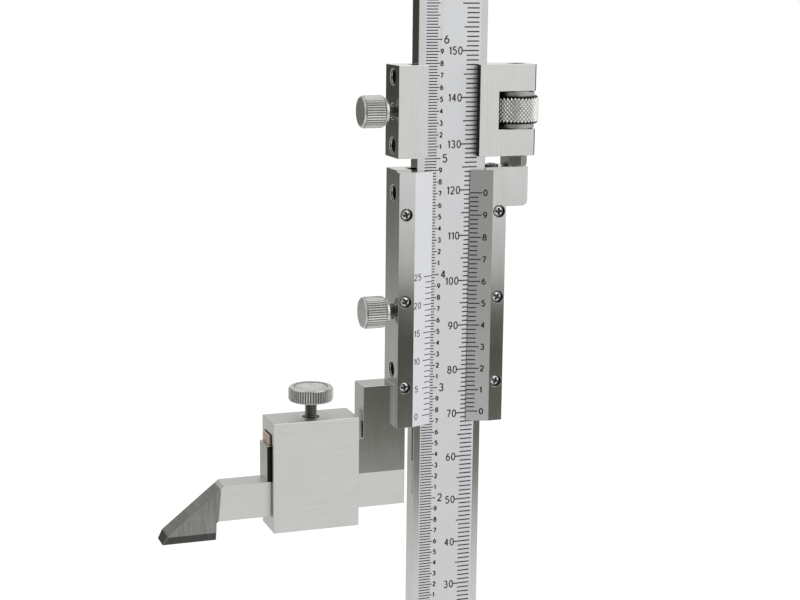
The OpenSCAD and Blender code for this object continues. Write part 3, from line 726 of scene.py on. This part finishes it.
def knurlRound(name, radius, around, shape, size, material, rows=1, pitch=0.0, stagger=0.0):
    return grow(trees["knurl"], {
        "Stamp": shape, "Radius": radius * mm, "Around": around, "Rows": rows,
        "Row Pitch": pitch * mm, "Stagger": stagger,
        "Stamp Size": tuple(side * mm for side in size), "Material": material}, name)


def straightKnurl(name, s):
    radius, depth, inset = s["headRadius"], s["ridgeDepth"], s["ridgeInset"]
    size = (depth, 2 * pi * radius / s["ridges"], s["headLength"] - 2 * inset)
    knurl = knurlRound(name, radius, s["ridges"], ridgeStamp, size, metal["knurl"])
    knurl.transform(Matrix.Translation((0, 0, inset * mm)))
    # painted shade down between the ridges
    markAxis(knurl, ridgeFrom(radius - depth, radius))
    return knurl


# Lock screws, along X with the head on the outside
lockScrew = {
    "headLength": 5.1, "headRadius": 3.5, "ridges": 38, "ridgeDepth": 0.24, "ridgeInset": 0.3,
    "rim": [(0, 0.45), (0.1, 0.22), (0.3, 0.1)], "rimWidth": 0.42, "sharpAngle": 15,
    "valley": 0.15, "collarRadius": 2.9, "collarLength": 0.5, "collarBore": 1,
    "threadRadius": 1.4, "threadPitch": 0.5, "threadStart": 0.1,
}


def addLockScrew(name, node, body):
    s = lockScrew
    low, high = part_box(node)
    centre = centreOf(node)
    end, rim = s["headLength"], rimOf(s, "rim")
    collarEnd = end + s["collarLength"]
    profile = [(0, 0), *rim, *fromEnd(rim, end), (end, s["collarRadius"]),
               (collarEnd, s["collarRadius"]), (collarEnd, s["collarBore"]), (collarEnd, 0)]
    head = toMesh(lathe(profile), name, metal["knurl"], s["sharpAngle"])
    knurl = straightKnurl(name, s)
    # painted shade in the ring at the foot of the ridges
    markAxis(head, dirtAt((s["headRadius"] - s["ridgeDepth"], s["valley"])))
    thread = rod(name, s["threadRadius"], end + s["threadStart"], (high.x - low.x) / mm,
                 s["threadPitch"], metal["darkThread"])
    whole = joined(name, [head, knurl, thread])
    onSide = Matrix.Translation((low.x, centre.y, centre.z)) @ Matrix.Rotation(pi / 2, 4, "Y")
    whole.transform(onSide)
    addPiece(name, whole, body, "bright_steel", node)


addLockScrew("blockLockScrew", "block_lock_screw", "block_lock")
addLockScrew("sliderLockScrew", "slider_lock_screw", "slider_lock")

# Fine-adjust nut with a diamond knurl between two collars. A diamond goes in by reach depths.
fineNut = {
    "radius": 5.2, "boreRadius": 1.5, "bandHeight": 6, "chamfer": 0.3, "collarRadius": 4.25,
    "collarHeight": 1.05, "collarChamfer": 0.15, "collarCrest": 0.22, "around": 38,
    "rowPitch": 0.46, "depth": 0.16, "reach": 1.3, "shadeDepth": 0.1,
}


def addFineNut(name, node, body):
    s = fineNut
    low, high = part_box(node)
    centre = centreOf(node)
    core, c, foot = s["radius"] - s["depth"], s["chamfer"], s["collarHeight"]
    top, height = foot + s["bandHeight"], (high.z - low.z) / mm
    collar, bore, small = s["collarRadius"], s["boreRadius"], s["collarChamfer"]
    profile = [(0, bore), (0, collar - small), (small, collar), (foot, collar), (foot, core - c),
               (foot + c, core), (top - c, core), (top, core - c), (top, collar),
               (height - small, collar), (height, collar - small), (height, bore), (0, bore)]
    blank = toMesh(lathe(profile), name, metal["nut"])
    # painted shade on the knurl's floor; the collars have a darker tone
    markAxis(blank, lambda far: s["collarCrest"] if far < core - c - tolerance else 0)
    rows = int((s["bandHeight"] - 2 * c) / s["rowPitch"])
    size = (s["depth"] * s["reach"], 2 * pi * s["radius"] / s["around"], 2 * s["rowPitch"])
    knurl = knurlRound(name, s["radius"], s["around"], diamondStamp, size, metal["nut"], rows,
                       s["rowPitch"], stagger=0.5)
    start = foot + (s["bandHeight"] - (rows - 1) * s["rowPitch"]) / 2
    knurl.transform(Matrix.Translation((0, 0, start * mm)))
    # painted shade down between the diamonds
    markAxis(knurl, ridgeFrom(core - s["shadeDepth"], s["radius"]))
    whole = joined(name, [blank, knurl])
    whole.transform(Matrix.Translation((centre.x, centre.y, low.z)))
    addPiece(name, whole, body, "bright_steel", node)


addFineNut("fineAdjustNut", "fine_adjust_nut", "fine_nut")

# Clamp screw with a dished, straight-knurled head
clampScrew = {
    "headLength": 3.2, "headRadius": 4.9, "ridges": 52, "ridgeDepth": 0.26, "ridgeInset": 0.32,
    "footRim": [(0, 0.7), (0.12, 0.28), (0.34, 0.12)], "rimWidth": 0.45, "valley": 0.15,
    "topRim": [(0, 0.55), (0.1, 0.3), (0.34, 0.12)], "steps": 96,
    "dishRadius": 3.7, "dishDepth": 1.3, "dishRim": 0.12, "dishSteps": 10, "dishCrest": 0.05,
    "threadRadius": 1.35, "threadPitch": 0.5, "threadEnd": 0.1,
}


def addClampScrew(name, node, body):
    s = clampScrew
    low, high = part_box(node)
    centre = centreOf(node)
    top, dishRadius, dishDepth = s["headLength"], s["dishRadius"], s["dishDepth"]
    bowl = (dishRadius ** 2 + dishDepth ** 2) / (2 * dishDepth)
    turns = [asin(dishRadius / bowl) * i / s["dishSteps"] for i in range(s["dishSteps"], 0, -1)]
    dish = [(top - dishDepth + bowl - bowl * cos(turn), bowl * sin(turn)) for turn in turns]
    profile = [(0, 0), *rimOf(s, "footRim"), *fromEnd(rimOf(s, "topRim"), top),
               (top, dishRadius + s["dishRim"]), *dish, (top - dishDepth, 0)]
    head = toMesh(lathe(profile, s["steps"]), name, metal["knurl"])
    knurl = straightKnurl(name, s)
    # painted shade in the ring at the foot of the ridges and in a ring at the dish's rim
    markAxis(head, dirtAt((s["headRadius"] - s["ridgeDepth"], s["valley"]),
                          (dishRadius, s["dishCrest"])))
    thread = rod(name, s["threadRadius"], top - (high.z - low.z) / mm, s["threadEnd"],
                 s["threadPitch"], metal["darkThread"])
    whole = joined(name, [head, knurl, thread])
    whole.transform(Matrix.Translation((centre.x, centre.y, high.z - top * mm)))
    addPiece(name, whole, body, "bright_steel", node)


addClampScrew("clampScrew", "clamp_screw", "clamp_knob")
print("knurled pieces made")


# Pan head screws with a cross recess. The head looks along -Y and sits on y = 0.
def crossScrew(name, s):
    r, h, end, thread = s["headRadius"], s["headHeight"], -s["length"], s["threadRadius"]
    dome = [(h - 0.45 * h * (i / 6) ** 3.2, r * (i / 6) ** 0.8) for i in range(7)]
    profile = [(end, 0), (end, 0.7 * thread), (end + 0.3 * thread, thread), (0, thread),
               (0, r - 0.05), (0.05, r), *reversed(dome)]
    mesh = toMesh(lathe(profile, 40), name, metal["screw"])
    # a dark ring at the head's rim: painted shade where it meets its seat
    markAxis(mesh, lambda far: 0.25 if far > r - 0.1 else 1)
    holder = linked(bpy.data.objects.new(name, mesh))
    long, wide = s["recess"] / 2, s["recessWidth"] / 2
    foot, mouth = (0.3, 0.7, h - s["recessDepth"]), (1.2, 1.1, h + 0.15)  # shares and height
    corners = [Vector((sx * long * lengthways, sy * wide * sideways, z)) * mm
               for lengthways, sideways, z in (foot, mouth)
               for sx, sy in ((-1, -1), (1, -1), (1, 1), (-1, 1))]
    cutters = []
    for turn in (0, pi / 2):
        cutter = linked(stamp("cutter", corners, [
            (0, 1, 2, 3), (4, 5, 6, 7), (0, 1, 5, 4), (1, 2, 6, 5), (2, 3, 7, 6), (3, 0, 4, 7)]))
        # the recess walls get the bore look: painted shade
        cutter.data.materials.append(metal["bore"])
        cutter.data.transform(Matrix.Rotation(turn, 4, "Z"))
        cut = holder.modifiers.new("recess", "BOOLEAN")
        cut.object, cut.operation, cut.solver = cutter, "DIFFERENCE", "EXACT"
        cut.material_mode = "TRANSFER"
        cutters.append(cutter)
    mesh = evaluated(holder)
    for cutter in cutters:
        bpy.data.objects.remove(cutter)
    shadeByAngle(mesh)
    mesh.transform(Matrix.Rotation(pi / 2, 4, "X"))
    return bpy.data.objects.new(name, mesh)


def addScrews(name, screw, node, body, seed, count=1, pitch=0.0, seat=0, place=None):
    # A row up the node's middle, seated that far behind its front, or one screw at a given place
    centre = centreOf(node)
    start = (centre.x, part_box(node)[0].y + seat * mm, centre.z - (count - 1) / 2 * pitch)
    mesh = grow(trees["screws"], {
        "Screw": screw, "Start": (0, 0, 0) if place else start, "Count": count, "Pitch": pitch,
        "Seed": seed, "Recess Material": metal["bore"], "Material": metal["screw"]}, name)
    if place:
        mesh.transform(place)
    addPiece(name, mesh, body, "bright_steel", node)


plateScrew = {"headRadius": 1.2, "headHeight": 0.8, "threadRadius": 0.7, "length": 3.7,
              "recess": 1.5, "recessWidth": 0.46, "recessDepth": 0.55}
endScrew = {"headRadius": 1.6, "headHeight": 0.7, "threadRadius": 0.95, "length": 5,
            "recess": 1.9, "recessWidth": 0.5, "recessDepth": 0.4}
stopScrew = {"headRadius": 2.2, "headHeight": 1.4, "threadRadius": 1.25, "length": 4,
             "recess": 2.6, "recessWidth": 0.7, "recessDepth": 0.8}
smallScrew = crossScrew("plateScrew", plateScrew)
inchLow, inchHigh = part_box("inch_plate_screws")
screwPitch = (inchHigh.z - inchLow.z) / 2 - plateScrew["headRadius"] * mm
for unit, seed in (("inch", 3), ("mm", 8)):
    addScrews(unit + "PlateScrews", smallScrew, unit + "_plate_screws", "slider", seed, count=3,
              pitch=screwPitch, seat=plateScrew["headHeight"])
endPlace, sliderTop = centreOf("slider_end_screw"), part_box("slider_body")[1].z
onTop = Matrix.Translation((endPlace.x, endPlace.y, sliderTop)) @ Matrix.Rotation(-pi / 2, 4, "X")
addScrews("sliderEndScrew", crossScrew("endScrew", endScrew), "slider_end_screw", "slider",
          seed=5, place=onTop)
stopPlace, beamBack = centreOf("beam_stop_screw"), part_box("beam")[1].y
onBack = Matrix.Translation((stopPlace.x, beamBack, stopPlace.z)) @ Matrix.Rotation(pi, 4, "Z")
addScrews("beamStopScrew", crossScrew("stopScrew", stopScrew), "beam_stop_screw", "stand",
          seed=2, place=onBack)
print("screws made")


# Graduations and figures, filled with ink. A row of lines has a pitch and a count, the side that
# they reach to, a short, a middle and a long length, and how often the longer ones come.
scale = {
    "zeroHeight": 24.3, "reading": 70.36, "depth": 0.02, "inch": 25.4,
    "mmLast": 150, "inchLast": 6,
}
beamRows = {
    "mm": {"edge": 5.92, "side": -1.0, "pitch": 1, "count": 201, "lengths": (2.82, 3.42, 3.82),
           "every": (5, 10), "line": 0.27},
    "inch": {"edge": -6.22, "side": 1.0, "pitch": scale["inch"] / 40, "count": 301,
             "lengths": (2.68, 3.12, 3.66), "every": (4, 40), "line": 0.22},
}
vernier = {
    "mm": {"side": 1.0, "pitch": 0.98, "count": 51, "lengths": (1.86, 2.6, 2.6), "every": (5, 5),
           "line": 0.26, "figurePlace": 3.0,
           "figure": {"height": 1.22, "width": 0.72, "line": 0.33, "anchor": 0}},
    "inch": {"side": -1.0, "pitch": 1.2446, "count": 26, "lengths": (1.72, 2.2, 2.2),
             "every": (5, 5), "line": 0.19, "figurePlace": 3.88,
             "figure": {"height": 1.3, "width": 0.74, "line": 0.23, "anchor": 1}},
}
figures = {
    "mm": {"height": 1.58, "width": 0.8, "line": 0.31, "anchor": 2, "place": 2.02},
    "inch": {"height": 1.62, "width": 0.92, "line": 0.33, "anchor": 0, "place": -1.98},
    "tenth": {"height": 0.95, "width": 0.56, "line": 0.31, "anchor": 0, "place": -2.82},
}

# Figures as an engraving machine cuts them, 1 high and 1 wide. Each is a list of strokes, and a
# stroke is made of points (x, y) and arcs (centre x, centre y, radius x, radius y, from, to).
strokes = {
    "0": [[(0.5, 0.5, 0.5, 0.5, 0, 360)]],
    "1": [[(0.05, 0.78), (0.4, 1)], [(0.4, 1), (0.4, 0)]],
    "2": [[(0.5, 0.72, 0.45, 0.28, 165, -35), (0, 0)], [(0, 0), (1, 0)]],
    "3": [[(0.45, 0.76, 0.4, 0.24, 155, -90)], [(0.45, 0.26, 0.5, 0.26, 90, -155)]],
    "4": [[(0.72, 0), (0.72, 1)], [(0.72, 1), (0, 0.3)], [(0, 0.3), (1, 0.3)]],
    "5": [[(0.9, 1), (0.15, 1)], [(0.15, 1), (0.08, 0.56)], [(0.45, 0.32, 0.5, 0.32, 130, -150)]],
    "6": [[(1.05, 0.3, 1.05, 0.72, 108, 180)], [(0.5, 0.3, 0.5, 0.3, 0, 360)]],
    "7": [[(0, 1), (1, 1)], [(1, 1), (0.35, 0)]],
    "8": [[(0.5, 0.77, 0.4, 0.23, 0, 360)], [(0.5, 0.27, 0.5, 0.27, 0, 360)]],
    "9": [[(-0.05, 0.7, 1.05, 0.72, -72, 0)], [(0.5, 0.7, 0.5, 0.3, 0, 360)]],
}
# The gap between figures and the width of a 1, as shares of a figure's width, the thickness of a
# stroke as a share of its width, and the degrees of one step of an arc
engraving = {"gap": 0.2, "narrow": 0.45, "flat": 0.12, "arcStep": 24}


def strokePoints(stroke):
    points = []
    for item in stroke:
        if len(item) == 2:
            points.append(item)
            continue
        x, y, across, upright, first, last = item
        steps = round(abs(last - first) / engraving["arcStep"])
        turns = [radians(first + (last - first) * i / steps) for i in range(steps + 1)]
        points += [(x + across * cos(turn), y + upright * sin(turn)) for turn in turns]
    return points


def figure(words, look):
    # A number as flat strokes in the XZ plane, looking along -Y, with its middle at z = 0
    gap = engraving["gap"] * look["width"] + look["line"]
    widths = [look["width"] * (engraving["narrow"] if letter == "1" else 1) for letter in words]
    x = -look["anchor"] / 2 * (sum(widths) + gap * (len(words) - 1))
    curve = bpy.data.curves.new("figure", "CURVE")
    curve.dimensions = "3D"
    curve.bevel_depth = look["line"] / 2 * mm
    curve.bevel_resolution = 1
    curve.use_fill_caps = True
    for letter, width in zip(words, widths):
        for stroke in strokes[letter]:
            points = strokePoints(stroke)
            spline = curve.splines.new("POLY")
            spline.points.add(len(points) - 1)
            for point, (px, pz) in zip(spline.points, points):
                place = Vector((x + px * look["width"], 0, (pz - 0.5) * look["height"])) * mm
                point.co = (*place, 1)
        x += width + gap
    mesh = evaluated(linked(bpy.data.objects.new("figure", curve)))
    mesh.transform(Matrix.Diagonal((1, engraving["flat"], 1, 1)))
    return mesh


def placed(mesh, place, ink, turn=0.0):
    mesh.transform(Matrix.Translation(place) @ Matrix.Rotation(turn, 4, "Z"))
    mesh.materials.clear()
    mesh.materials.append(ink)
    return mesh


def ticks(name, start, turn, row, ink):
    short, middle, long = (length * mm for length in row["lengths"])
    return grow(trees["ticks"], {
        "Start": start, "Count": row["count"], "Pitch": row["pitch"] * mm, "Side": row["side"],
        "Turn": turn, "Short": short, "Middle": middle, "Long": long,
        "Middle Every": row["every"][0], "Long Every": row["every"][1], "Line": row["line"] * mm,
        "Depth": scale["depth"] * mm, "Material": ink}, name)


def addBeamMarks(s):
    front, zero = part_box("beam")[0].y, s["zeroHeight"] * mm
    parts = [ticks(unit + "Ticks", (row["edge"] * mm, front, zero), 0.0, row, metal["ink"])
             for unit, row in beamRows.items()]
    marks = [("mm", str(height), height) for height in range(0, s["mmLast"] + 1, 10)]
    for tenth in range(s["inchLast"] * 10 + 1):
        kind = "tenth" if tenth % 10 else "inch"
        marks.append((kind, str(tenth % 10 or tenth // 10), tenth * s["inch"] / 10))
    for kind, words, height in marks:
        place = (figures[kind]["place"] * mm, front, zero + height * mm)
        parts.append(placed(figure(words, figures[kind]), place, metal["ink"]))
    addPiece("beamScale", joined("beamScale", parts), "stand", "black_steel")


def addVernierMarks(unit, ink):
    # The bevel starts at its thin edge beside the beam's scale and rises away from it
    s = vernier[unit]
    name, side = unit + "VernierScale", s["side"]
    points = [v.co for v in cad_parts[unit + "_vernier_plate"].data.vertices]
    front = min(p.y for p in points) + 0.01 * mm
    inFront = [p for p in points if p.y < -2.2 * mm]
    thinEdge = min(inFront, key=lambda p: p.x * side)
    flatEdge = min((p for p in points if p.y < front), key=lambda p: p.x * side)
    slope = Vector((flatEdge.x - thinEdge.x, flatEdge.y - thinEdge.y, 0)).normalized()
    turn = asin(slope.y) * side
    edge = Vector((thinEdge.x, thinEdge.y, (scale["zeroHeight"] + scale["reading"]) * mm))
    parts = [ticks(name, edge, turn, s, ink)]
    for i in range(0, s["count"], 5):
        words = str(i // 5 % 10 if unit == "mm" else i)
        place = edge + slope * s["figurePlace"] * mm + Vector((0, 0, i * s["pitch"] * mm))
        parts.append(placed(figure(words, s["figure"]), place, ink, turn))
    addPiece(name, joined(name, parts), "slider", "black_steel")


addBeamMarks(scale)
addVernierMarks("mm", metal["ink"])
addVernierMarks("inch", metal["fadedInk"])
print("scales made")


# Floor, lamps and the studio that the metal reflects. A lamp is its place, size and power. A wall
# is its brightness by height, from -1 below to 1 above. A border is where one wall passes into the
# next: along X for the zone, along -X for the left, both for the sides and along Y for the back.
studio = {
    "plain": 0.8, "floorGlow": 0.8, "floorColour": 0.3, "floorSize": 6, "backMiddle": 0.75,
    "lamps": [((0.7, -0.9, 1.0), 1.2, 2.2), ((-0.9, -0.5, 0.9), 0.9, 1.0)],
    "lampAim": (0, 0, 0.12), "greenWarmth": 0.03, "blueWarmth": 0.2,
    "walls": {
        "front": [(-1, 0.12), (-0.75, 0.3), (-0.5, 0.75), (-0.35, 0.82), (-0.1, 0.88),
                  (0.15, 0.8), (0.4, 0.8), (0.6, 0.98), (0.9, 0.5)],
        "darkZone": [(-0.4, 0.9), (-0.35, 0.84), (-0.32, 0.64), (-0.29, 0.25), (-0.265, 0.15),
                     (-0.24, 0.1), (-0.2, 0.05), (-0.193, 0.055), (-0.184, 0.52), (-0.15, 0.76),
                     (-0.1, 0.88)],
        "frontLeft": [(-0.5, 0.8), (-0.3, 0.6), (-0.25, 0.42), (-0.2, 0.2), (-0.12, 0.3),
                      (0.15, 0.2), (0.4, 0.2), (0.9, 0.4)],
        "backRight": [(-1, 0.15), (-0.7, 0.3), (-0.5, 0.85), (-0.25, 0.1), (-0.06, 0.1),
                      (0.02, 0.85), (0.12, 0.8), (0.2, 0.42), (0.25, 0.62), (1, 0.9)],
        "backLeft": [(-1, 0.2), (-0.6, 0.7), (-0.37, 0.77), (-0.335, 0.68), (-0.296, 0.5),
                     (-0.282, 0.4), (-0.26, 0.47), (-0.21, 0.43), (-0.165, 0.24), (-0.08, 0.07),
                     (0.05, 0.05), (0.15, 0.25), (0.3, 0.4), (0.5, 0.5), (0.9, 0.9)],
    },
    "borders": {
        "zoneStart": (0.1, 0.27), "zoneEnd": (0.37, 0.7), "frontLeft": (-0.12, 0.06),
        "backLeft": (0.05, 0.25), "sideStart": (0.12, 0.24), "sideEnd": (0.62, 0.8),
        "back": (-0.15, 0.15),
    },
}


def addFloor(s):
    material, graph = newGraph("floor")
    speckle = grain(graph, "", 4 * mm, 4 * mm, 2)
    level = s["floorColour"] * (0.99 + 0.02 * speckle)
    matt = graph.node("ShaderNodeBsdfDiffuse", None, {"Color": graph.vector(level, level, level)})
    camera = graph.node("ShaderNodeLightPath", out="Is Camera Ray")
    glow = graph.node("ShaderNodeEmission", None, {"Strength": camera * s["floorGlow"]})
    both = graph.node("ShaderNodeAddShader", None, {0: matt, 1: glow})
    graph.node("ShaderNodeOutputMaterial", None, {"Surface": both})
    form = bmesh.new()
    bmesh.ops.create_grid(form, x_segments=1, y_segments=1, size=s["floorSize"])
    floor = linked(bpy.data.objects.new("floor", toMesh(form, "floor", material)))
    floor.visible_glossy = False


def addLamps(s):
    for number, (place, size, power) in enumerate(s["lamps"]):
        data = bpy.data.lights.new("softLamp" + str(number), "AREA")
        data.size, data.energy = size, power
        lamp = linked(bpy.data.objects.new(data.name, data))
        lamp.location = place
        towards = Vector(s["lampAim"]) - Vector(place)
        lamp.rotation_euler = towards.to_track_quat("-Z", "Y").to_euler()


def addStudio(s):
    # Camera rays see plain white. Metal sees the room by direction.
    scene.world = bpy.data.worlds.new("studio")
    graph = graphOf(scene.world)
    ray = graph.node("ShaderNodeTexCoord", out="Generated")
    x, y, z = (axisOf(graph, ray, axis) for axis in "XYZ")
    height = (z + 1) / 2
    border = s["borders"]

    def wall(name):
        stops = [((place + 1) / 2, level) for place, level in s["walls"][name]]
        return graph.node("ShaderNodeValToRGB", {"stops": stops}, {"Fac": height})

    inZone = x.step(*border["zoneStart"]) * (1 - x.step(*border["zoneEnd"]))
    front = wall("front").blend(wall("darkZone"), inZone)
    front = front.blend(wall("frontLeft"), (0 - x).step(*border["frontLeft"]))
    back = wall("backRight").blend(wall("backLeft"), (0 - x).step(*border["backLeft"]))
    away = abs(x)
    atSide = away.step(*border["sideStart"]) * (1 - away.step(*border["sideEnd"]))
    back = back.blend(s["backMiddle"], 1 - atSide)
    metalSees = front.blend(back, y.step(*border["back"]))
    camera, through, glossy = (graph.node("ShaderNodeLightPath", out="Is " + kind + " Ray")
                               for kind in ("Camera", "Transmission", "Glossy"))
    white = camera.calc("MAXIMUM", camera, through)
    level = (s["plain"] + (metalSees - s["plain"]) * glossy).blend(1, white)
    dark = (1 - level) * (1 - level)  # the dark parts of the room are a little warmer
    tint = graph.vector(1, 1 - s["greenWarmth"] * dark, 1 - s["blueWarmth"] * dark)
    sky = graph.node("ShaderNodeBackground", None, {"Color": tint, "Strength": level})
    graph.node("ShaderNodeOutputWorld", None, {"Surface": sky})


addFloor(studio)
addLamps(studio)
addStudio(studio)
scene.view_settings.view_transform = "Standard"
print("studio made")
